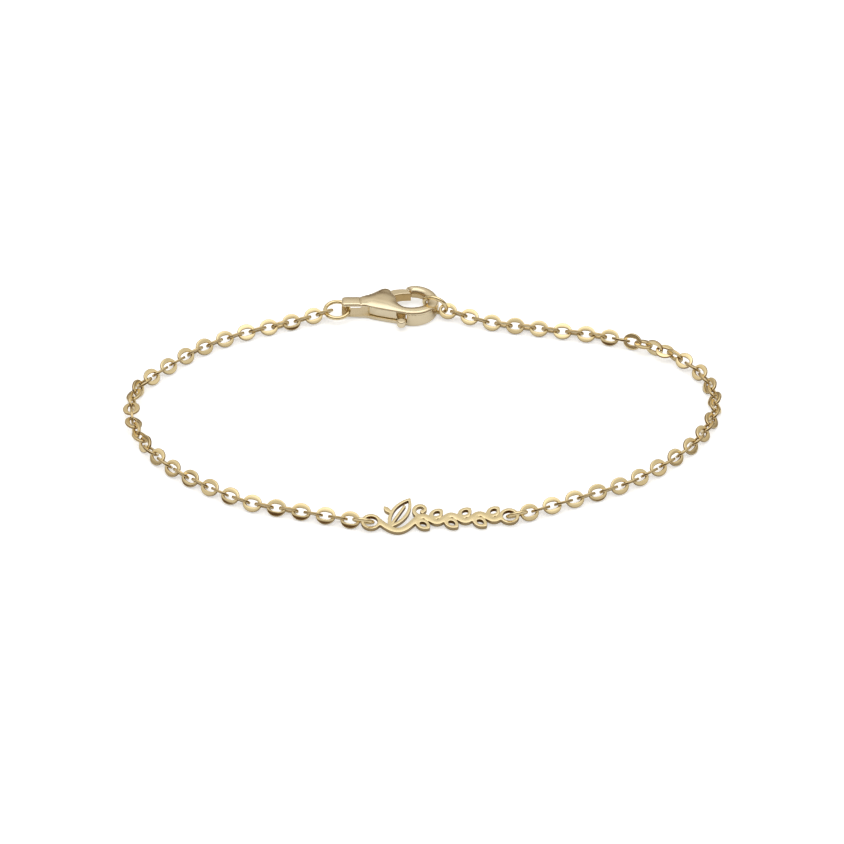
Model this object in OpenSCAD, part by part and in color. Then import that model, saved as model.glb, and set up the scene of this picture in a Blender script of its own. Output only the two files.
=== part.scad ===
// A bracelet laid down as a loop: a pierced plate, two strands of flat cable chain and a lobster clasp.
// Millimetres, +Z up, the origin on the surface that the bracelet lies on, under the middle of its box.

/* [Chain links] */
// Length of a link over its metal
link_length = 2.32; // [2.1:0.01:2.6]
// Width of a link over its metal
link_width = 2.0; // [1.8:0.01:2.1]
// Thickness of the flat metal
link_thick = 0.28; // [0.22:0.01:0.29]
// Width of the metal at the two ends of a link
link_end_metal = 0.3; // [0.26:0.01:0.34]
// Width of the opening in a link
link_opening = 1.02; // [0.98:0.01:1.1]
// Clearance between two links that hold each other
link_clearance = 0.235; // [0.2:0.005:0.28]
// Lean of the links to either side of the chain, in degrees
link_lean = 45; // [42:1:48]
// Uneven lean from link to link, in degrees
link_play = 3; // [0:1:4]

/* [Jump rings] */
// Outer diameter of the rings at the plate
plate_ring_od = 2.65; // [2.5:0.01:2.8]
// Wire of the rings at the plate
plate_ring_wire = 0.43; // [0.38:0.01:0.45]
// Lean of the rings at the plate, in degrees
plate_ring_lean = 45; // [43:1:48]
// Slack of the rings in the plate's loops
plate_ring_slack = 0.78; // [0.74:0.01:0.82]
// Outer diameter of the rings at the clasp
clasp_ring_od = 3.4; // [3.3:0.01:3.6]
// Wire of the rings at the clasp
clasp_ring_wire = 0.44; // [0.4:0.01:0.46]
// Slack of the chains' end links in the rings at the plate
plate_end_slack = 0.2; // [0.16:0.01:0.24]
// Slack of the chains' end links in the rings at the clasp
clasp_end_slack = 0.5; // [0.46:0.01:0.52]

/* [Plate] */
// Distance between the centres of the plate's two loops
plate_span = 16; // [15.4:0.1:16.6]
// Thickness of the plate
plate_thick = 0.58; // [0.5:0.01:0.6]
// Outer diameter of a loop
loop_od = 2.3; // [2.26:0.01:2.5]
// Width of a loop's metal
loop_metal = 0.39; // [0.34:0.01:0.42]
// Lean of the plate towards its lower edge, in degrees
plate_lean = 12; // [9:1:14]
// Width of the stem that joins the leaves
stem_width = 0.74; // [0.5:0.01:0.76]
// Height of the stem's waves
stem_wave = 0.5; // [0.4:0.01:0.6]
// Depth of the stem's bow under the tall leaf
stem_bow = 1.5; // [1.3:0.01:1.6]
// Length of a small leaf
leaf_length = 2.1; // [1.7:0.01:2.2]
// Width of a small leaf
leaf_width = 1.42; // [1.2:0.01:1.5]
// Lean of the small leaves, in degrees
leaf_lean = 43; // [38:1:48]
// Length of the tall leaf
tall_leaf_length = 5.2; // [4.8:0.05:5.4]
// Width of the tall leaf
tall_leaf_width = 2.1; // [1.9:0.01:2.3]
// Lean of the tall leaf, in degrees
tall_leaf_lean = 58; // [54:1:62]
// Width of the metal round the openings in the leaves
leaf_metal = 0.4; // [0.3:0.01:0.42]

/* [Clasp] */
// Height of the clasp
clasp_height = 2.2; // [2:0.01:2.4]
// Rise of the hook's underside, which leaves room for a ring below it
hook_rise = 0.6; // [0.56:0.01:0.7]
// Fall of the hook's top towards its tip
hook_fall = 0.15; // [0.1:0.01:0.2]
// Thickness of the upper wall over the slot
upper_wall = 0.4; // [0.34:0.01:0.45]
// Thickness of the lower wall under the slot
lower_wall = 0.52; // [0.46:0.01:0.6]
// Rise of the tail's underside
tail_rise = 0.24; // [0.16:0.01:0.28]
// Diameter of the eye
eye_d = 3.8; // [3.7:0.01:3.9]
// Width of the tail
tail_width = 1.8; // [1.6:0.01:1.9]
// Diameter of the lever's pin
pin_d = 0.6; // [0.5:0.01:0.7]
// Radial clearance of the lever on its pin
pin_clearance = 0.04; // [0.02:0.01:0.06]
// Clearance of the lever above and below
lever_clearance = 0.05; // [0.03:0.01:0.08]
// Reach of the thumb tab in front of the clasp
thumb_reach = 1.8; // [1.4:0.05:2]

/* [Hidden] */
$fn = 48;
gold = [0.86, 0.76, 0.53];
satin_gold = [0.80, 0.72, 0.53];

// Places
plate_at = [1.95, -22.6];
plate_heading = 4;
clasp_at = [-1.45, 21.4];

// Where each chain turns a quarter over, as shares of its length
left_turn = [0.39, 0.63];
right_turn = [0.56, 0.72];

// Height of a leaning flat link's middle when its lower edge touches the surface
link_lift = 0.035;
function link_rest(lean) = link_lift + link_width / 2 * abs(sin(lean)) + link_thick / 2 * abs(cos(lean));

// A smooth curve through the route's points
function blend4(a, b, c, d, t) = 0.5 * (2 * b + (c - a) * t + (2 * a - 5 * b + 4 * c - d) * t * t
    + (3 * b - a - 3 * c + d) * t * t * t);
function route_point(route, i) = i < 0 ? 2 * route[0] - route[1]
    : i >= len(route) ? 2 * route[len(route) - 1] - route[len(route) - 2] : route[i];
function route_at(route, u) = let (i = min(floor(u), len(route) - 2))
    blend4(route_point(route, i - 1), route_point(route, i), route_point(route, i + 1),
        route_point(route, i + 2), u - i);
route_steps = 24;
function route_samples(route) =
    [for (k = [0 : (len(route) - 1) * route_steps]) route_at(route, k / route_steps)];
function running_length(samples) = [for (i = 0, s = 0; i < len(samples);
    i = i + 1, s = s + (i < len(samples) ? norm(samples[i] - samples[i - 1]) : 0)) s];
function sample_before(lengths, s, low, high) = high - low <= 1 ? low
    : let (middle = floor((low + high) / 2))
        lengths[middle] <= s ? sample_before(lengths, s, middle, high)
        : sample_before(lengths, s, low, middle);
function point_at(samples, lengths, s) =
    let (i = sample_before(lengths, s, 0, len(lengths) - 1))
    samples[i] + (samples[i + 1] - samples[i]) * (s - lengths[i]) / (lengths[i + 1] - lengths[i]);

module stadium(length, width) {
    reach = (length - width) / 2;
    for (side = [-1, 1])
        translate([side * reach, 0]) circle(d = width);
    square([2 * reach, width], center = true);
}

module link() {
    linear_extrude(link_thick, center = true)
        difference() {
            stadium(link_length, link_width);
            stadium(link_length - 2 * link_end_metal, link_opening);
        }
}

// Links one after the other along a route, each turned a quarter from the one before.
// side is 1 where the outside of the loop is to the left of the route, and -1 to the right.
module chain(route, turn, side) {
    samples = route_samples(route);
    lengths = running_length(samples);
    total = lengths[len(lengths) - 1];
    taut = link_length - 2 * link_end_metal - link_clearance;
    count = ceil(total / taut);
    step = total / count;
    for (i = [0 : count]) {
        s = min(i * step, total);
        behind = point_at(samples, lengths, max(s - step / 2, 0));
        ahead = point_at(samples, lengths, min(s + step / 2, total - 0.001));
        along = ahead - behind;
        turned = 90 * min(max((i / count - turn[0]) / (turn[1] - turn[0]), 0), 1);
        lean = link_lean + 90 * (i % 2) + turned + link_play * sin(137 * i);
        place = point_at(samples, lengths, min(s, total - 0.001));
        rest = max(link_rest(lean), link_rest(lean + 90));
        translate([place[0], place[1], place[2] + rest])
            rotate([0, -atan2(along[2], norm([along[0], along[1]])), atan2(along[1], along[0])])
                rotate([-side * lean, 0, 0])
                    link();
    }
}

module wire_ring(od, wire) {
    rotate_extrude()
        translate([(od - wire) / 2, 0]) circle(d = wire);
}

plate_end_turn = 18;
tail_end_turn = 195;
tail_end_lift = 0.2;
hook_end_turn = -18;
hook_end_lift = 0.2;

// Where an end link hangs in a ring, from the ring's middle and the way it pulls
function end_link(at, od, wire, slack, angle, lift) = let (reach = od / 2 - wire
    + link_length / 2 - link_end_metal - slack)
    [at[0] + reach * cos(angle), at[1] + reach * sin(angle), lift];
function plate_end(side) = end_link(plate_ring_at(side), plate_ring_od, plate_ring_wire,
    plate_end_slack, plate_heading + (side > 0 ? plate_end_turn : 180 - plate_end_turn), 0);
function clasp_end(ring_at, angle, lift) = end_link(clasp_at + ring_at, clasp_ring_od,
    clasp_ring_wire, clasp_end_slack, angle, lift);

// The chains' routes between their ends, from the plate to the clasp
left_route = [[-14.2, -21.3, 0], [-20.0, -19.6, 0], [-25.0, -16.5, 0], [-29.3, -12.9, 0],
    [-33.0, -7.8, 0], [-34.8, -2.2, 0], [-34.3, 3.5, 0], [-30.9, 8.2, 0], [-26.7, 12.4, 0],
    [-21.7, 15.5, 0], [-16.3, 17.7, 0]];
right_route = [[17.7, -18.8, 0], [23.2, -16.1, 0], [28.0, -12.3, 0], [32.0, -7.8, 0],
    [34.5, -2.6, 0], [34.9, 2.2, 0], [33.3, 7.2, 0], [29.5, 11.1, 0], [23.0, 14.3, 0],
    [14.4, 16.3, 0], [8.6, 17.6, 0]];

module chain_left() {
    color(gold)
        chain(concat([plate_end(-1)], left_route, [clasp_end(tail_ring_at, tail_end_turn, tail_end_lift)]),
            left_turn, 1);
}

module chain_right() {
    color(gold)
        chain(concat([plate_end(1)], right_route, [clasp_end(hook_ring_at, hook_end_turn, hook_end_lift)]),
            right_turn, -1);
}

// A leaf is the lens where two circles cross, along +X from its stalk
module leaf(length, width) {
    radius = (length * length + width * width) / (4 * width);
    intersection() {
        translate([length / 2, radius - width / 2]) circle(r = radius);
        translate([length / 2, width / 2 - radius]) circle(r = radius);
    }
}

module open_leaf(length, width) {
    stalk = 1.7 * leaf_metal;
    tip = 1.3 * leaf_metal;
    difference() {
        leaf(length, width);
        translate([stalk, 0]) leaf(length - stalk - tip, width - 2 * leaf_metal);
    }
}

// A flat band of changing width along points. Its ends lie inside what it joins.
function band_side(points, widths, side) = [for (i = [0 : len(points) - 1])
    let (along = points[min(i + 1, len(points) - 1)] - points[max(i - 1, 0)])
    points[i] + side * widths[i] / 2 * [-along[1], along[0]] / norm(along)];
module band(points, widths) {
    back = band_side(points, widths, -1);
    polygon(concat(band_side(points, widths, 1), [for (i = [len(points) - 1 : -1 : 0]) back[i]]));
}

// The stem: a bow under the tall leaf, then waves, from loop to loop
waves = 3;
bow_length = 4.2;
stem_start = -(plate_span - loop_od + loop_metal) / 2;
bow_end = stem_start + bow_length;
wave_length = (-stem_start - bow_end) / waves;
function stem_y(x) = x < bow_end ? -stem_bow * sin(180 * (x - stem_start) / bow_length)
    : stem_wave * sin(360 * (x - bow_end) / wave_length);

module stem() {
    steps = 72;
    points = [for (k = [0 : steps])
        let (x = stem_start - 2 * stem_start * k / steps) [x, stem_y(x)]];
    band(points, [for (k = [0 : steps]) stem_width]);
}

module small_leaf(x, side) {
    translate([x, stem_y(x)]) rotate(side * leaf_lean) open_leaf(leaf_length, leaf_width);
}

module tall_leaf() {
    foot = stem_start + 0.25 * bow_length;
    vein = 0.85 * leaf_metal;
    translate([foot, stem_y(foot)])
        rotate(tall_leaf_lean) {
            flat() open_leaf(tall_leaf_length, tall_leaf_width);
            flat() translate([leaf_metal, -vein / 2]) square([0.72 * tall_leaf_length, vein]);
            flat() translate([0.4 * tall_leaf_length, 0.42 * tall_leaf_width])
                rotate(67) leaf(0.25 * tall_leaf_length, 0.3 * tall_leaf_width);
        }
}

// A tendril that springs from the stem's first crest and curls over
module tendril() {
    reach = [1, 0.3];
    turn = [-108, -430];
    widths = [0.5, 0.36];
    bud = 0.56;
    steps = 36;
    middle = [bow_end + 0.23 * wave_length, stem_wave + 0.98];
    points = [for (k = [0 : steps])
        let (t = k / steps, angle = turn[0] + (turn[1] - turn[0]) * t)
        middle + (reach[0] + (reach[1] - reach[0]) * t) * [cos(angle), sin(angle)]];
    flat() band(points, [for (k = [0 : steps]) widths[0] + (widths[1] - widths[0]) * k / steps]);
    translate(points[steps]) cylinder(d = bud, h = plate_thick, center = true);
}

module flat() {
    linear_extrude(plate_thick, center = true) children();
}

module plate_pieces() {
    flat() stem();
    for (side = [-1, 1])
        translate([side * plate_span / 2, 0, 0])
            cylinder(d = loop_od, h = plate_thick, center = true);
    for (n = [0 : waves - 1]) {
        flat() small_leaf(bow_end + n * wave_length, -1);
        flat() small_leaf(bow_end + (n + 0.5) * wave_length, 1);
    }
    tall_leaf();
    tendril();
}

// The plate lies on its lower edge, with its loops raised on the jump rings
plate_rise = (stem_bow + stem_width / 2) * sin(plate_lean) + plate_thick / 2 * cos(plate_lean);

module nameplate() {
    color(gold)
        translate([plate_at[0], plate_at[1], plate_rise])
            rotate([plate_lean, 0, plate_heading])
                difference() {
                    plate_pieces();
                    for (side = [-1, 1])
                        translate([side * plate_span / 2, 0, 0])
                            cylinder(d = loop_od - 2 * loop_metal, h = 2 * plate_thick,
                                center = true);
                }
}

// The rings at the plate lean through its loops, on their lower edges
function plate_point(along, across) = plate_at
    + along * [cos(plate_heading), sin(plate_heading)]
    + across * [-sin(plate_heading), cos(plate_heading)];
plate_ring_out = loop_od / 2 - loop_metal + plate_ring_od / 2 - plate_ring_wire - plate_ring_slack;
plate_ring_turn = 16;
plate_ring_aside = -0.04;
function plate_ring_at(side) = plate_point(side * (plate_span / 2 + plate_ring_out), plate_ring_aside);

// Height of a ring's middle over the surface when it stands on its edge
function ring_rest(od, wire, lean, tilt) = wire / 2 + 0.01
    + (od - wire) / 2 * sqrt(1 - pow(cos(lean) * cos(tilt), 2));

module plate_ring(side) {
    at = plate_ring_at(side);
    color(gold)
        translate([at[0], at[1], ring_rest(plate_ring_od, plate_ring_wire, plate_ring_lean, 0)])
            rotate([-plate_ring_lean, 0, plate_heading + side * plate_ring_turn])
                wire_ring(plate_ring_od, plate_ring_wire);
}

module plate_ring_left() {
    plate_ring(-1);
}

module plate_ring_right() {
    plate_ring(1);
}

// Clasp, drawn round the middle of its eye, with the tail towards -X and the gate towards +Y
hook_width = 6.2;
hook_length = 6.6;
hook_at = [0.3, -0.14];
eye_at = [0.1, -0.1];
hook_start = -105;
tip_angle = 109;
tail_end = -8.65;
tail_middle = -0.8;
belly_start = -6.3;
hook_root = -0.6;
pivot_at = [-3.8, 0.45];
slot_low = lower_wall;
slot_high = clasp_height - upper_wall;
hub_r = 0.8;
hub_play = 0.08;
function hook_edge(angle) = hook_at + [hook_width / 2 * cos(angle), hook_length / 2 * sin(angle)];

// The rings at the clasp: one round the tail's post, one through the eye and round the hook
post_depth = 0.62;
post_clearance = 0.07;
clasp_ring_hole = clasp_ring_od / 2 - clasp_ring_wire;
tail_ring_aside = -0.6;
tail_ring_lean = 10;
tail_ring_at = [tail_end + post_depth + post_clearance - clasp_ring_hole, tail_middle + tail_ring_aside];
hook_ring_slack = 0.3;
hook_ring_aside = -0.86;
hook_ring_lean = [110, 9.3];
hook_ring_turn = -19;
hook_ring_at = eye_at + [eye_d / 2 + clasp_ring_hole - hook_ring_slack, hook_ring_aside];

module clasp_ring_left() {
    color(gold)
        translate([clasp_at[0] + tail_ring_at[0], clasp_at[1] + tail_ring_at[1],
            (slot_low + slot_high) / 2])
            rotate([tail_ring_lean, 0, 0])
                wire_ring(clasp_ring_od, clasp_ring_wire);
}

module clasp_ring_right() {
    color(gold)
        translate([clasp_at[0] + hook_ring_at[0], clasp_at[1] + hook_ring_at[1],
            ring_rest(clasp_ring_od, clasp_ring_wire, hook_ring_lean[0], hook_ring_lean[1])])
            rotate([hook_ring_lean[0], hook_ring_lean[1], hook_ring_turn])
                wire_ring(clasp_ring_od, clasp_ring_wire);
}

// The hook and the front arm: an oval from the belly's front to the tip, round the eye
module hook_outline() {
    step = 6;
    polygon(concat([for (a = [hook_start : step : tip_angle]) hook_edge(a)],
        [hook_edge(tip_angle), eye_at + [0.3, 1], eye_at, eye_at + [-0.6, -1]]));
}

module tail_outline() {
    corner = 0.5;
    translate([tail_end, tail_middle - tail_width / 2]) {
        translate([corner, 0]) square([belly_start - tail_end - corner, tail_width]);
        translate([corner, tail_width - corner]) circle(r = corner);
        translate([corner, corner]) circle(r = corner);
        translate([0, corner]) square([tail_width, tail_width - 2 * corner]);
    }
}

module belly_outline() {
    peak_r = 0.75;
    peak = [-3.25, 1.62];
    translate(peak) circle(r = peak_r);
    polygon([[belly_start - 0.1, tail_middle - tail_width / 2], [-5.6, -1.66], [-4.5, -2.08],
        [-2, -2.86], hook_edge(hook_start), eye_at, [-1.7, -0.2], [-1.85, 0.05], [-2.2, 0.95],
        [-2.5, 1.62], [-3.25, 1.62], [-3.69, 2.23], [belly_start, 0.22], [belly_start - 0.12, -0.1]]);
}

module clasp_outline() {
    difference() {
        union() {
            tail_outline();
            belly_outline();
            hook_outline();
        }
        translate(eye_at) circle(d = eye_d);
    }
}

// Where the lever lies and swings, open to the front and to the eye
module lever_slot() {
    past = 2;
    translate(pivot_at) circle(r = hub_r + hub_play);
    polygon([[belly_start, tail_middle - tail_width / 2 - past],
        [hook_root, tail_middle - tail_width / 2 - past], [hook_root, -2], [-1.15, -1.35],
        [0, 0], [0, 1.2], [-0.9, 3.2], [-3, 3.2], [-3.25, 1.95], pivot_at + [-0.52, 0.7],
        [belly_start + 0.2, -0.1]]);
}

// The gap in the tail, round the post that the ring holds
module tail_slot() {
    past = 1;
    difference() {
        translate([tail_end - past, tail_middle - tail_width / 2 - past])
            square([belly_start - tail_end + 2 * past - 0.1, tail_width + 2 * past]);
        translate(tail_ring_at) circle(r = clasp_ring_hole - post_clearance);
    }
}

// What thins the hook from its front arm to its tip, above and below
module hook_taper() {
    start = -2.4;
    finish = -0.9;
    past = 5;
    translate([-1, 0, 0])
        rotate([90, 0, 90])
            linear_extrude(past) {
                polygon([[start, clasp_height], [finish, clasp_height - hook_fall],
                    [past, clasp_height - hook_fall], [past, past], [start, past]]);
                polygon([[start, 0], [finish, hook_rise], [past, hook_rise], [past, -1], [start, -1]]);
            }
}

// The hook's inner edge is rounded off below, where the ring hangs on it
relief_at = eye_at + [0.7, -0.4];
relief_height = 1.35;
module ring_relief() {
    reach = eye_at[0] + eye_d / 2 - relief_at[0];
    translate([relief_at[0], relief_at[1], 0])
        cylinder(r1 = reach + 1.2 * relief_height, r2 = reach, h = relief_height);
}

module tail_taper() {
    start = -4.9;
    rotate([90, 0, 0])
        linear_extrude(6, center = true)
            polygon([[start, 0], [tail_end, tail_rise], [tail_end - 1, tail_rise],
                [tail_end - 1, -1], [start, -1]]);
}

// The pin sits in a blind hole, from the middle of one wall to the middle of the other
pin_low = lower_wall / 2;
pin_high = clasp_height - upper_wall / 2;
pin_seat = 0.02;

module clasp_body() {
    color(satin_gold)
        translate([clasp_at[0], clasp_at[1], 0])
            difference() {
                linear_extrude(clasp_height) clasp_outline();
                translate([0, 0, slot_low])
                    linear_extrude(slot_high - slot_low) {
                        lever_slot();
                        tail_slot();
                    }
                hook_taper();
                ring_relief();
                tail_taper();
                translate([pivot_at[0], pivot_at[1], pin_low])
                    cylinder(r = pin_d / 2 + pin_seat, h = pin_high - pin_low);
            }
}

module clasp_pin() {
    color(satin_gold)
        translate([clasp_at[0] + pivot_at[0], clasp_at[1] + pivot_at[1], pin_low + pin_seat])
            cylinder(d = pin_d, h = pin_high - pin_low - 2 * pin_seat);
}

module lever_outline() {
    translate(pivot_at) circle(r = hub_r);
    // The front, with the web behind the thumb tab
    polygon([[-5.2, -1.45], [-4.4, -1.85], [-1.85, -2.62], [-1.75, -2.3], [-0.75, -2.1],
        [-1.3, -1.5], [-2.0, -0.9], [-2.3, -0.4], [-2.6, 0.6], pivot_at + [0.5, 0.6],
        pivot_at + [-0.6, -0.5], [-5.35, -0.9]]);
    // The gate
    polygon([pivot_at + [0.2, 0.75], [-2.9, 1.9], [-2.2, 2.3], [-1.2, 2.46], [-0.54, 2.4],
        [-0.04, 1.46], [-1.2, 1.38], [-2.0, 1.1], [-2.4, 0.3], pivot_at + [0.7, -0.2]]);
}

// The thumb tab: a neck out of the slot with a round button at its end
tab_width = 1.08;
tab_front = -2.85 - thumb_reach;
tab_root = -2;
tab_at = [hook_root - 0.1 - tab_width / 2, tab_front + tab_width / 2];
module thumb_tab() {
    neck_height = 0.5;
    button_height = 0.9;
    translate([tab_at[0] - tab_width / 2, tab_at[1]])
        cube([tab_width, tab_root - tab_at[1], neck_height]);
    translate([tab_at[0], tab_at[1], 0]) cylinder(d = tab_width, h = button_height);
}

module clasp_lever() {
    low = slot_low + lever_clearance;
    color(satin_gold)
        translate([clasp_at[0], clasp_at[1], low])
            difference() {
                union() {
                    linear_extrude(slot_high - slot_low - 2 * lever_clearance) lever_outline();
                    thumb_tab();
                }
                translate([pivot_at[0], pivot_at[1], -1])
                    cylinder(r = pin_d / 2 + pin_clearance, h = clasp_height);
            }
}

nameplate();
plate_ring_left();
plate_ring_right();
chain_left();
chain_right();
clasp_ring_left();
clasp_ring_right();
clasp_body();
clasp_pin();
clasp_lever();
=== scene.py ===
# The bracelet's looks: rounded links, a pierced plate and a cast clasp, in pale gold.
import math

import bmesh
import bpy
import numpy as np
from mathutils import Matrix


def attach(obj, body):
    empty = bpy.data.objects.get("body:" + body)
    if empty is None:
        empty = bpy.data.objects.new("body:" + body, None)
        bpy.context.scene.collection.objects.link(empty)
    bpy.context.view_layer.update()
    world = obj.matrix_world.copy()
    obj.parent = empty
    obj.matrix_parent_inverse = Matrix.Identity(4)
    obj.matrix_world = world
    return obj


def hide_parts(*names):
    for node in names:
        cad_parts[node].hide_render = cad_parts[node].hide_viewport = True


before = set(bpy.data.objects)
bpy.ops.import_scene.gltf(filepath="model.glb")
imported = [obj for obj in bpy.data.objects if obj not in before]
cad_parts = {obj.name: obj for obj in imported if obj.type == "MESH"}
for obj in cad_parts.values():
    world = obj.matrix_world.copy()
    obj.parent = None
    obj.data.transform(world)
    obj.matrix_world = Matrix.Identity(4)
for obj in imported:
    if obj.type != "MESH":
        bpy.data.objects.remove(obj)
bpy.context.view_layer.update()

# Sizes are in millimetres and angles in degrees, unless a comment says otherwise
MM = 0.001
BODY = "bracelet"
FAR = 1e9
TINY = 1e-9
SHORTEST = 1e-12
rad = math.radians

# Camera: at the photograph's angle. The clip distances are in metres.
LENS, SENSOR, NEAR_CLIP, FAR_CLIP = 173.05, 36, 0.01, 20
CAMERA_AT, CAMERA_ABOVE = (-0.15, -396.9, 281.5), 35.5


def make_camera():
    data = bpy.data.cameras.new("camera")
    data.lens = LENS
    data.sensor_width = SENSOR
    data.clip_start = NEAR_CLIP
    data.clip_end = FAR_CLIP
    cam = bpy.data.objects.new("camera", data)
    bpy.context.scene.collection.objects.link(cam)
    cam.location = [c * MM for c in CAMERA_AT]
    cam.rotation_euler = (rad(90 - CAMERA_ABOVE), 0, 0)
    bpy.context.scene.camera = cam


# Materials: scales are per metre, depths are in metres and turns in radians
TONE_SCALE, PATCH_SCALE, WAVE_SCALE, SCRATCH_SCALE = 420, 900, 700, 2600
WAVE_DEPTH, FINE_DEPTH = 0.00003, 0.000004
SCRATCH_STRETCH, SCRATCH_TURN = (1.0, 9.0, 5.0), (0.3, 0.2, 0.7)


def nodes_of(name):
    mat = bpy.data.materials.new(name)
    mat.use_nodes = True
    tree = mat.node_tree
    return mat, tree, tree.nodes["Principled BSDF"]


def feed(tree, value, socket):
    """Puts a constant on the socket itself and links anything else to it."""
    if isinstance(value, tuple):
        socket.default_value = value
    else:
        tree.links.new(value, socket)


def noise(tree, where, scale, detail, rough=0.5):
    node = tree.nodes.new("ShaderNodeTexNoise")
    node.inputs["Scale"].default_value = scale
    node.inputs["Detail"].default_value = detail
    node.inputs["Roughness"].default_value = rough
    tree.links.new(where, node.inputs["Vector"])
    return node.outputs["Fac"]


def span(tree, source, low, high, lo_in=0.3, hi_in=0.7):
    node = tree.nodes.new("ShaderNodeMapRange")
    node.inputs["From Min"].default_value = lo_in
    node.inputs["From Max"].default_value = hi_in
    node.inputs["To Min"].default_value = low
    node.inputs["To Max"].default_value = high
    tree.links.new(source, node.inputs["Value"])
    return node.outputs["Result"]


def blend(tree, factor, low, high):
    node = tree.nodes.new("ShaderNodeMix")
    node.data_type = "RGBA"
    tree.links.new(factor, node.inputs["Factor"])
    feed(tree, low, node.inputs["A"])
    feed(tree, high, node.inputs["B"])
    return node.outputs["Result"]


def gold(name, light, deep, wall, rough, wave, scratch, grain, grain_scale):
    """Gold between a light and a deep tone at random, with a darker colour painted on its walls
    as shade.
    """
    mat, tree, shader = nodes_of(name)
    where = tree.nodes.new("ShaderNodeTexCoord").outputs["Object"]
    shader.inputs["Metallic"].default_value = 1.0
    tone = span(tree, noise(tree, where, TONE_SCALE, 3), 0.0, 1.0)
    # Painted shade: a darker gold is mixed in where the mesh's point attribute marks a wall
    side = tree.nodes.new("ShaderNodeAttribute")
    side.attribute_name = "wall"
    face = blend(tree, tone, (*deep, 1), (*light, 1))
    colour = blend(tree, side.outputs["Fac"], face, (*wall, 1))
    tree.links.new(colour, shader.inputs["Base Color"])
    patch = noise(tree, where, PATCH_SCALE, 4, 0.6)
    tree.links.new(span(tree, patch, *rough), shader.inputs["Roughness"])
    # Three reliefs on each other: a soft wave, fine scratches and the grain
    stretch = tree.nodes.new("ShaderNodeMapping")
    stretch.inputs["Scale"].default_value = SCRATCH_STRETCH
    stretch.inputs["Rotation"].default_value = SCRATCH_TURN
    tree.links.new(where, stretch.inputs["Vector"])
    normal = None
    for source, scale, strength, depth in (
            (where, WAVE_SCALE, wave, WAVE_DEPTH),
            (stretch.outputs["Vector"], SCRATCH_SCALE, scratch, FINE_DEPTH),
            (where, grain_scale, grain, FINE_DEPTH)):
        bump = tree.nodes.new("ShaderNodeBump")
        bump.inputs["Strength"].default_value = strength
        bump.inputs["Distance"].default_value = depth
        tree.links.new(noise(tree, source, scale, 3), bump.inputs["Height"])
        if normal:
            tree.links.new(normal, bump.inputs["Normal"])
        normal = bump.outputs["Normal"]
    tree.links.new(normal, shader.inputs["Normal"])
    return mat


# Meshes
def show(name, points, faces, mat, body, nodes, normals=None, wall=None):
    """One visible piece in the place of its nodes. The last argument says how much painted wall
    shade each point gets.
    """
    data = bpy.data.meshes.new(name)
    data.from_pydata((np.asarray(points) * MM).tolist(), [], np.asarray(faces).tolist())
    data.polygons.foreach_set("use_smooth", [True] * len(data.polygons))
    data.materials.append(mat)
    if normals is not None:
        data.normals_split_custom_set_from_vertices(normals.tolist())
    if wall is not None:
        # Painted shade, stored per point so that the gold darkens the walls
        share = data.attributes.new("wall", "FLOAT", "POINT")
        share.data.foreach_set("value", wall.tolist())
    data.update()
    piece = bpy.data.objects.new(name, data)
    bpy.context.scene.collection.objects.link(piece)
    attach(piece, body)
    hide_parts(*nodes)
    return piece


def turn(axis, degrees):
    c, s = math.cos(rad(degrees)), math.sin(rad(degrees))
    return np.array({"x": [[1, 0, 0], [0, c, -s], [0, s, c]],
                     "y": [[c, 0, s], [0, 1, 0], [-s, 0, c]],
                     "z": [[c, -s, 0], [s, c, 0], [0, 0, 1]]}[axis])


def turned(angles):
    return turn("z", angles[2]) @ turn("y", angles[1]) @ turn("x", angles[0])


def sample(values, at):
    """values between the points of their grid, at places given in cells."""
    i = np.clip(np.floor(at).astype(int), 0, np.array(values.shape) - 2)
    f = at - i
    out = 0
    for dx in (0, 1):
        for dy in (0, 1):
            for dz in (0, 1):
                w = (np.where(dx, f[:, 0], 1 - f[:, 0]) * np.where(dy, f[:, 1], 1 - f[:, 1])
                     * np.where(dz, f[:, 2], 1 - f[:, 2]))
                out = out + w * values[i[:, 0] + dx, i[:, 1] + dy, i[:, 2] + dz]
    return out


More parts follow.
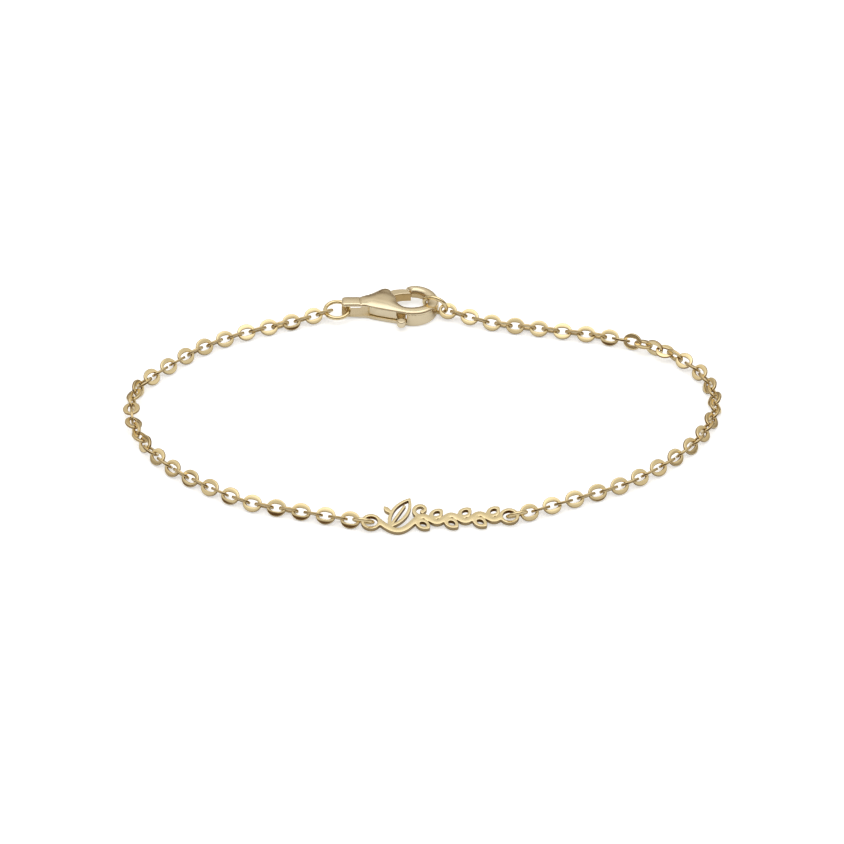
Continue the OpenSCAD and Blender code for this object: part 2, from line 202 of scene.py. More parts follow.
def surface(field, low, step, passes=2, reach=0.3):
    """Points, quads and normals where a field on a grid goes through zero."""
    n = np.array(field.shape) - 1
    total = np.zeros((*n, 3))
    count = np.zeros(n)
    index = np.stack(np.meshgrid(*[np.arange(k) for k in n], indexing="ij"), -1)
    # Each cell's point is the mean of the crossings on its twelve edges
    crossings = []
    for axis in range(3):
        a = np.take(field, range(n[axis]), axis)
        b = np.take(field, range(1, n[axis] + 1), axis)
        cross = (a < 0) != (b < 0)
        t = np.where(cross, a / np.where(cross, a - b, 1), 0)
        crossings.append((cross, a < 0))
        u, v = [k for k in range(3) if k != axis]
        for du in (0, 1):
            for dv in (0, 1):
                cut = [slice(None)] * 3
                cut[u] = slice(du, du + n[u])
                cut[v] = slice(dv, dv + n[v])
                c, part = cross[tuple(cut)], t[tuple(cut)]
                count += c
                total[..., axis] += np.where(c, index[..., axis] + part, 0)
                total[..., u] += np.where(c, index[..., u] + du, 0)
                total[..., v] += np.where(c, index[..., v] + dv, 0)
    mixed = count > 0
    number = np.full(n, -1)
    number[mixed] = np.arange(mixed.sum())
    points = total[mixed] / count[mixed][:, None]
    # Each crossed edge gives a quad between the four cells round it
    quads = []
    for axis in range(3):
        cross, inside = crossings[axis]
        u, v = (axis + 1) % 3, (axis + 2) % 3
        where = np.argwhere(cross)
        where = where[(where[:, u] > 0) & (where[:, v] > 0)
                      & (where[:, u] < n[u]) & (where[:, v] < n[v])]
        corner = []
        for du, dv in ((-1, -1), (0, -1), (0, 0), (-1, 0)):
            cell = where.copy()
            cell[:, u] += du
            cell[:, v] += dv
            corner.append(number[tuple(cell.T)])
        quad = np.stack(corner, 1)
        flip = ~inside[tuple(where.T)]
        quad[flip] = quad[flip][:, ::-1]
        quads.append(quad)
    # The points move onto the field's zero, down its slope
    grads = np.gradient(field)
    for _ in range(passes):
        g = np.stack([sample(k, points) for k in grads], 1)
        away = sample(field, points)[:, None] * g / np.maximum((g * g).sum(1), TINY)[:, None]
        points = points - np.clip(away, -reach, reach)
    g = np.stack([sample(k, points) for k in grads], 1)
    g /= np.maximum(np.linalg.norm(g, axis=1), TINY)[:, None]
    return np.array(low) + points * step, np.concatenate(quads), g


def grid(low, high, step):
    """Flat X and Y and an upright Z that spread over each other."""
    xs, ys, zs = [np.arange(a, b + step, step) for a, b in zip(low, high)]
    X, Y = np.meshgrid(xs, ys, indexing="ij")
    return X, Y, zs[None, None, :]


def ease(x, low, high):
    t = np.clip((x - low) / (high - low), 0, 1)
    return t * t * (3 - 2 * t)


def steep(normals, low, high):
    """One on upright walls and nothing on flat faces."""
    return 1 - ease(np.abs(normals[:, 2]), low, high)


def meet(a, b, r):
    """What a and b share, with a round edge of radius r."""
    away = np.hypot(np.maximum(a + r, 0), np.maximum(b + r, 0))
    return np.minimum(np.maximum(a, b), -r) + away


def join(a, b, k):
    """a and b together, with a soft fillet of about k."""
    h = np.maximum(k - np.abs(a - b), 0) / k
    return np.minimum(a, b) - h * h * k / 4


def soften(field, cells):
    """The same flat field, smoothed over about this many cells."""
    weights = np.exp(-0.5 * (np.arange(-2 * cells, 2 * cells + 1) / cells) ** 2)
    weights /= weights.sum()
    for axis in (0, 1):
        margin = [(2 * cells,) * 2 if k == axis else (0, 0) for k in (0, 1)]
        wide = np.pad(field, margin, mode="edge")
        field = sum(w * np.take(wide, range(k, k + field.shape[axis]), axis)
                    for k, w in enumerate(weights))
    return field


def disc(X, Y, at, r):
    return np.hypot(X - at[0], Y - at[1]) - r


def box_field(X, Y, low, high, r):
    """Signed distance to a box with corners of radius r."""
    mx, my = (low[0] + high[0]) / 2, (low[1] + high[1]) / 2
    dx = np.abs(X - mx) - (high[0] - low[0]) / 2 + r
    dy = np.abs(Y - my) - (high[1] - low[1]) / 2 + r
    return (np.minimum(np.maximum(dx, dy), 0)
            + np.hypot(np.maximum(dx, 0), np.maximum(dy, 0)) - r)


def slab(Z, low, high):
    return np.abs(Z - (low + high) / 2) - (high - low) / 2


def line_to(X, Y, a, b):
    """How far along a line its nearest point is, from 0 to 1, and the distance to it."""
    dx, dy = b[0] - a[0], b[1] - a[1]
    t = np.clip(((X - a[0]) * dx + (Y - a[1]) * dy) / (dx * dx + dy * dy + SHORTEST), 0, 1)
    return t, np.hypot(X - a[0] - t * dx, Y - a[1] - t * dy)


def line_field(X, Y, points, widths):
    """Distance to a band of changing width along points."""
    best = np.full(X.shape, FAR)
    for a, b, wa, wb in zip(points[:-1], points[1:], widths[:-1], widths[1:]):
        t, away = line_to(X, Y, a, b)
        best = np.minimum(best, away - (wa + (wb - wa) * t) / 2)
    return best


def polygon_field(X, Y, points):
    """Signed distance to a polygon, below zero inside."""
    best = np.full(X.shape, FAR)
    inside = np.zeros(X.shape, bool)
    for a, b in zip(points, points[1:] + points[:1]):
        best = np.minimum(best, line_to(X, Y, a, b)[1])
        if a[1] != b[1]:
            level = a[0] + (b[0] - a[0]) * (Y - a[1]) / (b[1] - a[1])
            inside ^= ((Y >= a[1]) != (Y >= b[1])) & (X < level)
    return np.where(inside, -best, best)


def local(X, Y, at, degrees):
    c, s = math.cos(rad(degrees)), math.sin(rad(degrees))
    return (X - at[0]) * c + (Y - at[1]) * s, -(X - at[0]) * s + (Y - at[1]) * c


# The plate's ornament, in its own frame: a stem with leaves, a tall leaf and a tendril
SPAN, PLATE_THICK, LOOP_OD, LOOP_METAL = 16.0, 0.58, 2.3, 0.39
STEM_WIDTH, STEM_WAVE, STEM_BOW, BOW_LENGTH, WAVES = 0.74, 0.5, 1.5, 4.2, 3
LEAF, LEAF_LEAN, TALL_LEAF, TALL_LEAN, LEAF_METAL = (2.1, 1.42), 43, (5.2, 2.1), 58, 0.4
PLATE_LEAN, PLATE_HEADING, PLATE_AT = 12, 4, (1.95, -22.6)
STEM_START = -(SPAN - LOOP_OD + LOOP_METAL) / 2
BOW_END = STEM_START + BOW_LENGTH
WAVE = (-STEM_START - BOW_END) / WAVES
STEM_POINTS = 73
STALK, LEAF_TIP = 1.7 * LEAF_METAL, 1.3 * LEAF_METAL
VEIN_END, VEIN_WIDTH = 0.72 * TALL_LEAF[0], 0.85 * LEAF_METAL
LEAFLET = (0.25 * TALL_LEAF[0], 0.3 * TALL_LEAF[1])
LEAFLET_AT, LEAFLET_LEAN = (0.4 * TALL_LEAF[0], 0.42 * TALL_LEAF[1]), 67
CURL_AT = (BOW_END + 0.23 * WAVE, STEM_WAVE + 0.98)
CURL_STEPS, CURL_START, CURL_TURN = 36, -108, -322
CURL_CLOSE, CURL_WIDTH, CURL_THIN, CURL_BALL = 0.7, 0.5, 0.14, 0.28
FILLET, WIDE_FILLET, BALL_FILLET = 0.12, 0.15, 0.1
PLATE_STEP, PLATE_LOW, PLATE_HIGH = 0.045, (-9.4, -2.3, -0.45), (9.4, 3.9, 0.45)
PLATE_ROUND, PLATE_CROWN, PLATE_CROWN_REACH = 0.075, 0.025, 0.42
# How much painted shade the outer walls get, against the openings' walls
OUTER_WALL_SHADE = 0.62


def stem_y(x):
    if x < BOW_END:
        return -STEM_BOW * math.sin(math.pi * (x - STEM_START) / BOW_LENGTH)
    return STEM_WAVE * math.sin(2 * math.pi * (x - BOW_END) / WAVE)


def lens(U, V, length, width):
    """A pointed leaf along U: what two discs share."""
    r = (length * length + width * width) / (4 * width)
    return np.maximum(disc(U, V, (length / 2, r - width / 2), r),
                      disc(U, V, (length / 2, width / 2 - r), r))


def open_leaf(U, V, length, width):
    hole = lens(U - STALK, V, length - STALK - LEAF_TIP, width - 2 * LEAF_METAL)
    return lens(U, V, length, width), hole


def make_plate(mat):
    X, Y, Z = grid(PLATE_LOW, PLATE_HIGH, PLATE_STEP)
    line = [(x, stem_y(x)) for x in np.linspace(STEM_START, -STEM_START, STEM_POINTS)]
    shape = line_field(X, Y, line, [STEM_WIDTH] * STEM_POINTS)
    holes = np.full(X.shape, FAR)
    for n in range(WAVES):
        for share, side in ((0, -1), (0.5, 1)):
            x = BOW_END + (n + share) * WAVE
            body, hole = open_leaf(*local(X, Y, (x, stem_y(x)), side * LEAF_LEAN), *LEAF)
            shape = join(shape, body, FILLET)
            holes = np.minimum(holes, hole)
    # The tall leaf grows from the bow and has a vein and a leaflet
    foot = STEM_START + 0.25 * BOW_LENGTH
    U, V = local(X, Y, (foot, stem_y(foot)), TALL_LEAN)
    body, hole = open_leaf(U, V, *TALL_LEAF)
    vein = line_field(U, V, [(LEAF_METAL, 0), (VEIN_END, 0)], [VEIN_WIDTH] * 2)
    leaflet = lens(*local(U, V, LEAFLET_AT, LEAFLET_LEAN), *LEAFLET)
    shape = join(join(shape, body, FILLET), leaflet, WIDE_FILLET)
    holes = np.minimum(holes, np.maximum(hole, -vein))
    # The tendril curls in and ends in a ball
    curl, widths = [], []
    for k in range(CURL_STEPS + 1):
        t = k / CURL_STEPS
        angle = rad(CURL_START + CURL_TURN * t)
        radius = 1 - CURL_CLOSE * t
        curl.append(np.array(CURL_AT) + radius * np.array((math.cos(angle), math.sin(angle))))
        widths.append(CURL_WIDTH - CURL_THIN * t)
    shape = join(shape, line_field(X, Y, curl, widths), FILLET)
    shape = join(shape, disc(X, Y, curl[-1], CURL_BALL), BALL_FILLET)
    for side in (-1, 1):
        at = (side * SPAN / 2, 0)
        shape = join(shape, disc(X, Y, at, LOOP_OD / 2), WIDE_FILLET)
        holes = np.minimum(holes, disc(X, Y, at, LOOP_OD / 2 - LOOP_METAL))
    shape = np.maximum(shape, -holes)
    crown = PLATE_CROWN * (1 - ease(-soften(shape, 4), 0, PLATE_CROWN_REACH))
    tall = np.abs(Z) - PLATE_THICK / 2 + crown[..., None]
    field = meet(shape[..., None], tall, PLATE_ROUND)
    points, quads, normals = surface(field, PLATE_LOW, PLATE_STEP)
    # Painted shade: the walls are painted darker than the face, and those of the openings the
    # most
    cell = ((points[:, :2] - PLATE_LOW[:2]) / PLATE_STEP).round().astype(int)
    cell = np.clip(cell, 0, np.array(X.shape) - 1)
    inner = ease(-np.abs(holes[cell[:, 0], cell[:, 1]]), -0.12, -0.03)
    wall = steep(normals, 0.3, 0.9) * (OUTER_WALL_SHADE + (1 - OUTER_WALL_SHADE) * inner)
    rise = ((STEM_BOW + STEM_WIDTH / 2) * math.sin(rad(PLATE_LEAN))
            + PLATE_THICK / 2 * math.cos(rad(PLATE_LEAN)))
    frame3 = turned((PLATE_LEAN, 0, PLATE_HEADING))
    return show("plate", points @ frame3.T + (*PLATE_AT, rise), quads, mat, BODY,
                ["nameplate"], normals @ frame3.T, wall)


# Links: flat ovals with rounded corners, each in the place of the frame's own link
LINK_LENGTH, LINK_WIDTH, LINK_THICK, LINK_CORNER = 2.34, 2.06, 0.32, 0.09
LINK_HOLE, HOLE_POWER = (1.62, 0.86), 2.3
LINK_AROUND, CORNER_ANGLES = 56, (5, 32, 58, 85)
TO_FRONT = (0, -0.81, 0.58)
# How many links have a worn lower half: four stretches of the front, from -X, and the back
STRETCHES, WORN = (-29.5, -23.6, -7), (0.6, 0.15, 0.9, 0.05, 0.25)
WORN_SLOPE, PLAIN_SLOPE, UPPER_SLOPE = (0.16, 0.22), (0, 0.03), (0, 0.05)
OPENED, TIGHTER, SHAKE = 6, 4, 1.5
# Painted shade on the links' walls, less on links standing on edge to the front view
LINK_WALL_SHADE, UPRIGHT_WALL_SHADE = 0.8, 0.5


def islands(node):
    """The middle and the axes of each link of a node: along, across and through it."""
    mesh = bmesh.new()
    mesh.from_mesh(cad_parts[node].data)
    bmesh.ops.remove_doubles(mesh, verts=mesh.verts, dist=1e-7)
    bmesh.ops.triangulate(mesh, faces=mesh.faces)
    left = set(mesh.faces)
    found = []
    while left:
        queue = [next(iter(left))]
        left.discard(queue[0])
        group = []
        while queue:
            face = queue.pop()
            group.append([v.co[:] for v in face.verts])
            for edge in face.edges:
                for other in edge.link_faces:
                    if other in left:
                        left.discard(other)
                        queue.append(other)
        tri = np.array(group) / MM
        area = np.linalg.norm(np.cross(tri[:, 1] - tri[:, 0], tri[:, 2] - tri[:, 0]), axis=1) / 2
        mid = tri.mean(1)
        at = (area[:, None] * mid).sum(0) / area.sum()
        rel = tri - at
        spread = sum(np.einsum("i,ij,ik->jk", area, rel[:, a], rel[:, a]) for a in range(3))
        spread = spread + 9 * np.einsum("i,ij,ik->jk", area, mid - at, mid - at)
        _, axes = np.linalg.eigh(spread)
        axes = axes[:, ::-1]
        for k in (2, 1):
            if axes[2, k] < 0:
                axes[:, k] *= -1
        if np.linalg.det(axes) < 0:
            axes[:, 0] *= -1
        found.append((at, axes))
    mesh.free()
    return sorted(found, key=lambda item: math.atan2(item[0][1], item[0][0]))


def tube_faces(around, section, closed):
    """Quads of a tube with around rows of section points, closed to a loop or open."""
    rows = around + (0 if closed else 1)
    faces = []
    for k in range(around):
        a, b = k * section, (k + 1) % rows * section
        faces += [(a + j, b + j, b + (j + 1) % section, a + (j + 1) % section)
                  for j in range(section)]
    return faces


def link_shape(slopes):
    """A link round the origin. slopes tilt its upper and its lower half."""
    rows, normals = [], []
    for k in range(LINK_AROUND):
        theta = 2 * math.pi * k / LINK_AROUND
        c, s = math.cos(theta), math.sin(theta)
        out = np.array((c * LINK_LENGTH / 2, s * LINK_WIDTH / 2))
        blunt = (abs(c) ** HOLE_POWER + abs(s) ** HOLE_POWER) ** (-1 / HOLE_POWER)
        ins = np.array((c * LINK_HOLE[0] / 2, s * LINK_HOLE[1] / 2)) * blunt
        middle, half = (out + ins) / 2, np.linalg.norm(out - ins) / 2
        way = (out - ins) / (2 * half)
        slope = (slopes[0] if s > 0 else slopes[1]) * abs(s) ** 0.6
        for quarter in range(4):
            start = quarter * math.pi / 2
            right = math.copysign(half - LINK_CORNER, math.cos(rad(45) + start))
            above = math.copysign(LINK_THICK / 2 - LINK_CORNER, math.sin(rad(45) + start))
            for a in CORNER_ANGLES:
                nx, nz = math.cos(rad(a) + start), math.sin(rad(a) + start)
                x = right + LINK_CORNER * nx
                z = above + LINK_CORNER * nz
                tilt = slope if abs(nz) > 0.5 else 0
                z -= math.copysign(tilt * x, z) if tilt else 0
                rows.append((*(middle + way * x), z))
                n = np.array((*(way * (nx + abs(nz) * tilt)), nz))
                normals.append(n / np.linalg.norm(n))
    faces = tube_faces(LINK_AROUND, 4 * len(CORNER_ANGLES), True)
    return np.array(rows), np.array(faces), np.array(normals)


def make_chain(name, node, mat, seed):
    points, quads, normals, walls, count = [], [], [], [], 0
    rng = np.random.default_rng(seed)
    for at, axes in islands(node):
        stretch = np.searchsorted(STRETCHES, at[0]) if at[1] < 0 else 4
        worn = rng.uniform() < WORN[stretch]
        lower = rng.uniform(*WORN_SLOPE) if worn else rng.uniform(*PLAIN_SLOPE)
        rows, faces, around = link_shape((rng.uniform(*UPPER_SLOPE), lower))
        # Links that stand on edge to the front are turned a little about their length,
        # less at the front's right, and every link is shaken a little
        _, side, face = axes.T @ TO_FRONT
        upright = abs(face) < 0.5
        loose = 0
        if upright:
            tighter = TIGHTER if at[0] > 8 and at[1] < 0 else 0
            loose = -math.copysign(1, face * side) * (rng.uniform(0, OPENED) - tighter)
        frame3 = axes @ turned(rng.uniform(-SHAKE, SHAKE, 3) + (loose, 0, 0))
        points.append(rows @ frame3.T + at)
        normals.append(around @ frame3.T)
        quads.append(faces + count)
        # Painted shade on the walls, lighter on links that stand on edge to the front view
        walls.append((UPRIGHT_WALL_SHADE if upright else LINK_WALL_SHADE) * steep(around, 0.2, 0.9))
        count += len(rows)
    return show(name, np.concatenate(points), np.concatenate(quads), mat, BODY,
                [node], np.concatenate(normals), np.concatenate(walls))


# Jump rings: round wire, closed up at a fine joint
RING_AROUND, RING_SECTION, JOINT_GAP = 96, 20, 0.02
RINGS = (("ring_a", "plate_ring_left", 2.65, 0.43, 200),
         ("ring_b", "plate_ring_right", 2.65, 0.43, 20),
         ("ring_c", "clasp_ring_left", 3.44, 0.5, 160),
         ("ring_d", "clasp_ring_right", 3.44, 0.5, 60))


def ring_pose(node):
    """A ring's middle and axes, from the frame's own ring."""
    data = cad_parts[node].data
    at = np.array([v.co[:] for v in data.vertices]) / MM
    at = np.unique(np.round(at, 4), axis=0)
    middle = at.mean(0)
    _, axes = np.linalg.eigh((at - middle).T @ (at - middle))
    normal = axes[:, 0] * (1 if axes[2, 0] > 0 else -1)
    side = np.cross((0, 1, 0), normal)
    side /= np.linalg.norm(side)
    return middle, np.stack([side, np.cross(normal, side), normal], 1)


def make_ring(name, node, od, wire, joint, mat):
    at, frame3 = ring_pose(node)
    gap = JOINT_GAP / od
    rows = []
    for k in range(RING_AROUND + 1):
        theta = rad(joint) + gap + (2 * math.pi - 2 * gap) * k / RING_AROUND
        for j in range(RING_SECTION):
            phi = 2 * math.pi * j / RING_SECTION
            r = (od - wire) / 2 + wire / 2 * math.cos(phi)
            rows.append((r * math.cos(theta), r * math.sin(theta), wire / 2 * math.sin(phi)))
    faces = tube_faces(RING_AROUND, RING_SECTION, False)
    points = np.array(rows) @ frame3.T + at
    for k, order in ((0, 1), (RING_AROUND, -1)):
        cap = [k * RING_SECTION + j for j in range(RING_SECTION)][::order]
        faces += [(cap[0], cap[i], cap[i + 1], cap[i + 2]) for i in range(1, RING_SECTION - 2, 2)]
    return show(name, points, faces, mat, BODY, [node])


# The clasp, in its own frame: middle of the eye, tail towards -X
CLASP_AT = (-1.45, 21.4)
HEIGHT, LOW_WALL, HIGH_WALL, EYE_D, TAIL_WIDTH = 2.2, 0.52, 0.4, 3.8, 1.8
HOOK_AT, HOOK_HALF, EYE_AT, PIVOT = (0.3, -0.14), (3.1, 3.3), (0.1, -0.1), (-3.8, 0.45)
TAIL_END, TAIL_MIDDLE, BELLY, TAIL_CORNER = -8.65, -0.8, -6.3, 0.4
CLASP_STEP, CLASP_LOW, CLASP_HIGH = 0.055, (-8.95, -3.75, -0.2), (3.7, 3.5, 2.4)
SHOULDER, SHOULDER_R, HOOK_TIP = (-3.25, 1.58), 0.78, (1.6, 2.6)
HUB_ROOM, RING_HOLE, POST_AIR, TAIL_SLOT = 0.88, 1.26, 0.07, 0.9
RELIEF_TOP, RELIEF_R, RELIEF_SLOPE = 1.35, 1.2, 0.64
SLOT_ROUND, RELIEF_ROUND, GROOVE_R, SEAM_AT, SEAM_ROUND = 0.05, 0.12, 0.11, 1.72, 0.03


def hook_edge(angle):
    return (HOOK_AT[0] + HOOK_HALF[0] * math.cos(rad(angle)),
            HOOK_AT[1] + HOOK_HALF[1] * math.sin(rad(angle)))


# Corners of the belly, of the hook and of the room in which the lever turns
BELLY_LINE = [
    (BELLY - 0.1, TAIL_MIDDLE - TAIL_WIDTH / 2), (-5.6, -1.66), (-4.5, -2.08), (-3.2, -2.5),
    (-2, -2.86), (-1.2, -3.1), hook_edge(-105), EYE_AT, (-1.7, -0.2), (-1.78, 0.0), (-1.85, 0.3),
    (-2.2, 0.95), (-2.5, 1.62), (-3.25, 1.62), (-3.69, 2.23), (-5.1, 1.1), (BELLY, 0.22),
    (BELLY - 0.12, -0.1)]
HOOK_LINE = [hook_edge(a) for a in range(-105, 110)] + [
    (EYE_AT[0] + 0.3, EYE_AT[1] + 1), EYE_AT, (EYE_AT[0] - 0.6, EYE_AT[1] - 1), (-1.6, -1.1),
    (-1.7, -2.7)]
LEVER_ROOM = [
    (BELLY, -3.7), (-0.6, -3.7), (-0.6, -2), (-1.15, -1.35), (0, 0), (0, 1.2), (-0.9, 3.2),
    (-3, 3.2), (-3.25, 1.95), (PIVOT[0] - 0.52, PIVOT[1] + 0.7), (BELLY + 0.2, -0.1)]


def clasp_outline(X, Y):
    half = TAIL_WIDTH / 2
    tail = box_field(X, Y, (TAIL_END, TAIL_MIDDLE - half), (BELLY + 0.3, TAIL_MIDDLE + half),
                     TAIL_CORNER)
    belly = join(polygon_field(X, Y, BELLY_LINE), disc(X, Y, SHOULDER, SHOULDER_R), 0.3)
    flat = join(join(belly, polygon_field(X, Y, HOOK_LINE), 0.1), tail, 0.1)
    flat += (soften(flat, 2) - flat) * ease(X, -1.0, -1.4)
    return np.maximum(flat, EYE_D / 2 - np.hypot(X - EYE_AT[0], Y - EYE_AT[1]))


def make_clasp(mat):
    X, Y, Z = grid(CLASP_LOW, CLASP_HIGH, CLASP_STEP)
    flat = clasp_outline(X, Y)
    # The top is domed, and the arm gets thinner towards the hook's tip
    taper = ease(Y, -2.6, -0.7) * ease(X, -1.6, -0.6)
    crown = 0.12 + 0.26 * ease(X, BELLY - 0.3, BELLY + 1.5) - 0.1 * ease(X, -1.8, 0.5)
    crown = crown * (1 - np.clip(-soften(flat, 6) / 1.5, 0, 1)) ** 2
    top = (HEIGHT + 0.12 - 0.15 * taper - crown)[..., None]
    low = 0.6 * taper + np.clip((-4.9 - X) / 3.75, 0, 1) * 0.24
    round_r = 0.27 + 0.25 * ease(np.hypot(X - HOOK_TIP[0], Y - HOOK_TIP[1]), 3.6, 1.8)
    tall = np.maximum(Z - top, low[..., None] - Z)
    field = meet(flat[..., None], tall, round_r[..., None])
    # The slot for the lever, and the tail's with its post
    room = np.minimum(polygon_field(X, Y, LEVER_ROOM), disc(X, Y, PIVOT, HUB_ROOM))
    ring = (TAIL_END + 0.69 - RING_HOLE, TAIL_MIDDLE - 0.6)
    post = RING_HOLE - POST_AIR - np.hypot(X - ring[0], Y - ring[1])
    cut = np.minimum(room, np.maximum(X - (BELLY + TAIL_SLOT), post))
    slot = np.maximum(cut[..., None], slab(Z, LOW_WALL, HEIGHT - HIGH_WALL))
    field = meet(field, -slot, SLOT_ROUND)
    # The rise under the hook, the groove round the tail and the seam on the hook's front
    relief = (np.hypot(X - EYE_AT[0] - 0.7, Y - EYE_AT[1] + 0.4)[..., None]
              - (RELIEF_R + RELIEF_R * (RELIEF_TOP - Z)))
    relief = np.maximum(relief * RELIEF_SLOPE, Z - RELIEF_TOP)
    field = meet(field, -relief, RELIEF_ROUND)
    across = (X - BELLY - 0.02 + 0.1 * (Y + 1))[..., None]
    groove = np.hypot(across, Z - top - 0.02) - GROOVE_R
    field = meet(field, -groove, SLOT_ROUND)
    seam_r = 0.145 * ease(X, -0.75, -0.45) - 0.1
    seam = np.hypot(flat[..., None], Z - SEAM_AT) - seam_r[..., None]
    field = meet(field, -seam, SEAM_ROUND)
    points, quads, normals = surface(field, CLASP_LOW, CLASP_STEP)
    # Painted shade: the walls inside the eye and round the tail are painted darker
    eye = ease(-np.hypot(points[:, 0] - EYE_AT[0], points[:, 1] - EYE_AT[1]), -2.3, -2.05)
    tail = (points[:, 0] < BELLY - 0.4) & (np.abs(points[:, 2] - 1.15) < 0.62)
    wall = np.maximum(0.6 * eye, 0.8 * tail) * steep(normals, 0.2, 0.8)
    return show("clasp", points + (*CLASP_AT, 0), quads, mat, BODY,
                ["clasp_body"], normals, wall)


# The lever, in the clasp's frame: a hub on the pin, a web, the gate and the thumb tab
LEVER_STEP, LEVER_LOW, LEVER_HIGH = 0.05, (-5.7, -5.0, 0.35), (0.3, 2.8, 2.0)
LEVER_AIR, HUB_R, BORE_R = 0.05, 0.8, 0.34
TAB_AT, TAB_R, TAB_HALF, TAB_ROUND = (-1.24, -4.11), 0.54, 0.45, 0.2
NECK_LOW, NECK_HIGH = (-1.78, -4.11), (-0.7, -2.0)
NECK_CORNER, NECK_HALF, NECK_ROUND = 0.1, 0.25, 0.12
FRONT_LINE = [
    (-5.2, -1.45), (-4.4, -1.85), (-3.0, -2.3), (-1.85, -2.62), (-1.75, -2.3), (-0.75, -2.1),
    (-1.3, -1.5), (-2.0, -0.9), (-2.3, -0.4), (-2.6, 0.6), (PIVOT[0] + 0.5, PIVOT[1] + 0.6),
    (PIVOT[0] - 0.6, PIVOT[1] - 0.5), (-5.35, -0.9)]
GATE_LINE = [
    (PIVOT[0] + 0.2, PIVOT[1] + 0.75), (-2.9, 1.9), (-2.2, 2.3), (-1.2, 2.46), (-0.54, 2.4),
    (-0.04, 1.46), (-1.2, 1.38), (-2.0, 1.1), (-2.4, 0.3), (PIVOT[0] + 0.7, PIVOT[1] - 0.2)]


def standing(Z, low, half):
    """A slab that stands on low and is twice half high."""
    return np.abs(Z - low - half) - half


def make_lever(mat):
    X, Y, Z = grid(LEVER_LOW, LEVER_HIGH, LEVER_STEP)
    low, high = LOW_WALL + LEVER_AIR, HEIGHT - HIGH_WALL - LEVER_AIR
    front, gate = polygon_field(X, Y, FRONT_LINE), polygon_field(X, Y, GATE_LINE)
    flat = join(join(front, gate, 0.1), disc(X, Y, PIVOT, HUB_R), 0.1)
    round_r = 0.1 + 0.05 * ease(Y, -0.8, -1.6)
    field = meet(flat[..., None], slab(Z, low, high), round_r[..., None])
    neck = meet(box_field(X, Y, NECK_LOW, NECK_HIGH, NECK_CORNER)[..., None],
                standing(Z, low, NECK_HALF), NECK_ROUND)
    button = meet(disc(X, Y, TAB_AT, TAB_R)[..., None], standing(Z, low, TAB_HALF), TAB_ROUND)
    field = join(join(field, neck, 0.1), button, 0.12)
    field = np.maximum(field, -disc(X, Y, PIVOT, BORE_R)[..., None])
    points, quads, normals = surface(field, LEVER_LOW, LEVER_STEP)
    # Painted shade: the walls on the gate's side are painted darker
    wall = 0.8 * ease(points[:, 1], 0.2, 0.8) * steep(normals, 0.2, 0.8)
    return show("lever", points + (*CLASP_AT, 0), quads, mat, "lever",
                ["clasp_lever"], normals, wall)


# Light: a pale sky over a lit white table, darker low down and most of all at the front.
# A sky's stops go from the horizon to above, with both ends first.
SKY_ASIDE = 0.22
SKY_BACK = (
    (0, (0.05, 0.028, 0.012)), (1, (1.5, 1.47, 1.4)), (0.2, (0.19, 0.14, 0.09)),
    (0.45, (0.5, 0.45, 0.37)), (0.6, (0.66, 0.61, 0.53)), (0.7, (0.86, 0.81, 0.73)),
    (0.86, (0.62, 0.59, 0.53)), (0.94, (1.2, 1.17, 1.1)))
SKY_FRONT = (
    (0, (0.12, 0.08, 0.05)), (1, (1.5, 1.47, 1.4)), (0.3, (0.3, 0.25, 0.19)),
    (0.48, (0.09, 0.05, 0.022)), (0.63, (0.13, 0.08, 0.04)), (0.69, (0.62, 0.58, 0.51)),
    (0.85, (0.69, 0.66, 0.6)))
WHITE = (1, 1, 1, 1)


def ramp(tree, source, stops):
    node = tree.nodes.new("ShaderNodeValToRGB")
    steps = node.color_ramp.elements
    for k, (place, colour) in enumerate(stops):
        step = steps[k] if k < 2 else steps.new(place)
        step.position = place
        step.color = (*colour, 1)
    tree.links.new(source, node.inputs["Fac"])
    return node.outputs["Color"]


def make_sky():
    world = bpy.data.worlds.new("world")
    bpy.context.scene.world = world
    world.use_nodes = True
    tree = world.node_tree
    part = tree.nodes.new("ShaderNodeSeparateXYZ")
    toward = tree.nodes.new("ShaderNodeTexCoord").outputs["Generated"]
    tree.links.new(toward, part.inputs["Vector"])
    aside = tree.nodes.new("ShaderNodeMath")
    aside.operation = "ABSOLUTE"
    tree.links.new(part.outputs["X"], aside.inputs[0])
    high = tree.nodes.new("ShaderNodeMath")
    high.operation = "MULTIPLY_ADD"
    high.inputs[1].default_value = SKY_ASIDE
    tree.links.new(aside.outputs["Value"], high.inputs[0])
    tree.links.new(part.outputs["Z"], high.inputs[2])
    back = ramp(tree, high.outputs["Value"], SKY_BACK)
    front = ramp(tree, high.outputs["Value"], SKY_FRONT)
    rear = span(tree, part.outputs["Y"], 0.0, 1.0, -0.25, 0.2)
    seen = tree.nodes.new("ShaderNodeLightPath").outputs["Is Camera Ray"]
    colour = blend(tree, seen, blend(tree, rear, front, back), WHITE)
    tree.links.new(colour, tree.nodes["Background"].inputs["Color"])


# The table and the lamp over it, in metres
TABLE_HALF = 3
LAMP_AT, LAMP_SIZE, LAMP_STRENGTH = (0, 0.35, 0.8), (2.4, 2), 0.16


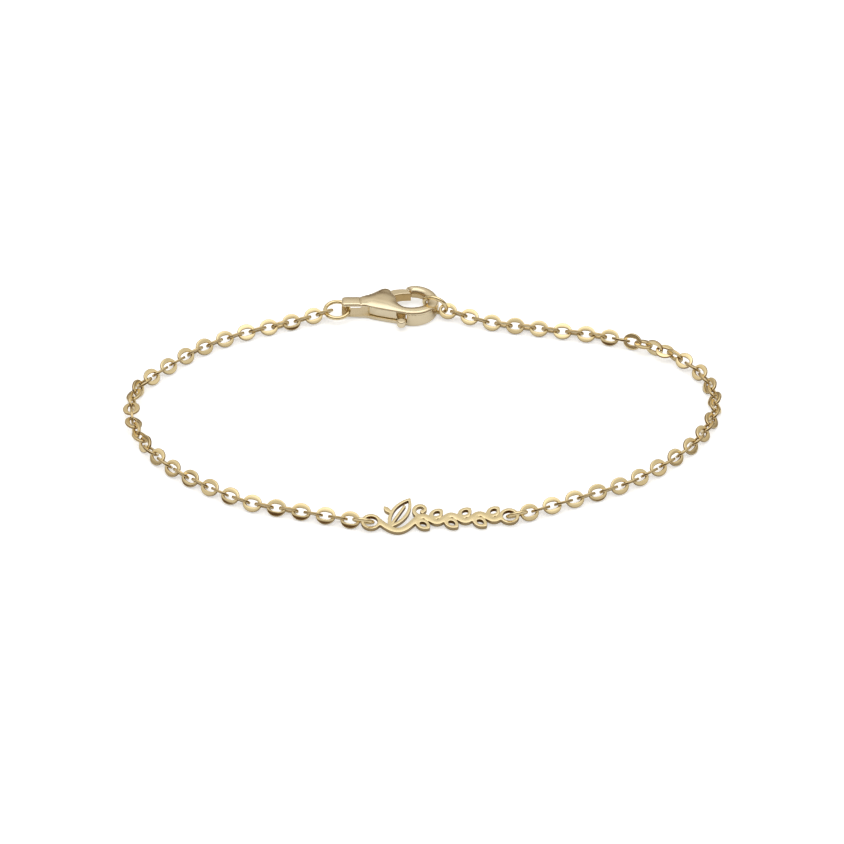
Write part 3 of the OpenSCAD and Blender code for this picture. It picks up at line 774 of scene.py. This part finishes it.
def make_light():
    floor = bpy.data.meshes.new("floor")
    h = TABLE_HALF
    floor.from_pydata([(-h, -h, 0), (h, -h, 0), (h, h, 0), (-h, h, 0)], [], [(0, 1, 2, 3)])
    mat, tree, shader = nodes_of("floor_white")
    shader.inputs["Roughness"].default_value = 0.9
    shader.inputs["Specular IOR Level"].default_value = 0.1
    shader.inputs["Emission Color"].default_value = (0.9, 0.94, 1, 1)
    # In the metal the table shows darker than it is, as under a grazing light
    mirrored = tree.nodes.new("ShaderNodeLightPath").outputs["Is Glossy Ray"]
    tree.links.new(span(tree, mirrored, 0.9, 0.68, 0, 1), shader.inputs["Base Color"])
    tree.links.new(span(tree, mirrored, 0.5, 0.14, 0, 1), shader.inputs["Emission Strength"])
    floor.materials.append(mat)
    ground = bpy.data.objects.new("floor", floor)
    bpy.context.scene.collection.objects.link(ground)
    data = bpy.data.lights.new("fill", "AREA")
    data.shape = "RECTANGLE"
    data.size, data.size_y = LAMP_SIZE
    data.energy = LAMP_STRENGTH * math.pi * data.size * data.size_y
    lamp = bpy.data.objects.new("fill", data)
    lamp.location = LAMP_AT
    lamp.visible_camera = False
    lamp.visible_glossy = False
    bpy.context.scene.collection.objects.link(lamp)


bpy.context.scene.view_settings.view_transform = "Standard"
make_camera()
make_sky()
make_light()
# Each gold's wall colour is painted shade, darkest on the plate
polished = gold("polished_gold", light=(0.95, 0.81, 0.5), deep=(0.88, 0.72, 0.42),
                wall=(0.3, 0.17, 0.05), rough=(0.06, 0.13), wave=0.1, scratch=0.25,
                grain=0.1, grain_scale=9000)
plated = gold("plate_gold", light=(0.93, 0.79, 0.5), deep=(0.88, 0.73, 0.43),
              wall=(0.17, 0.085, 0.018), rough=(0.14, 0.22), wave=0.3, scratch=0.2,
              grain=0.25, grain_scale=12000)
satin = gold("satin_gold", light=(0.95, 0.84, 0.62), deep=(0.89, 0.77, 0.54),
             wall=(0.55, 0.36, 0.12), rough=(0.19, 0.26), wave=0.3, scratch=0.2,
             grain=0.5, grain_scale=14000)
make_plate(plated)
make_clasp(satin)
make_lever(satin)
make_chain("links_left", "chain_left", polished, 7)
make_chain("links_right", "chain_right", polished, 8)
for ring in RINGS:
    make_ring(*ring, polished)
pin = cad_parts["clasp_pin"].data
pin.materials.clear()
pin.materials.append(satin)
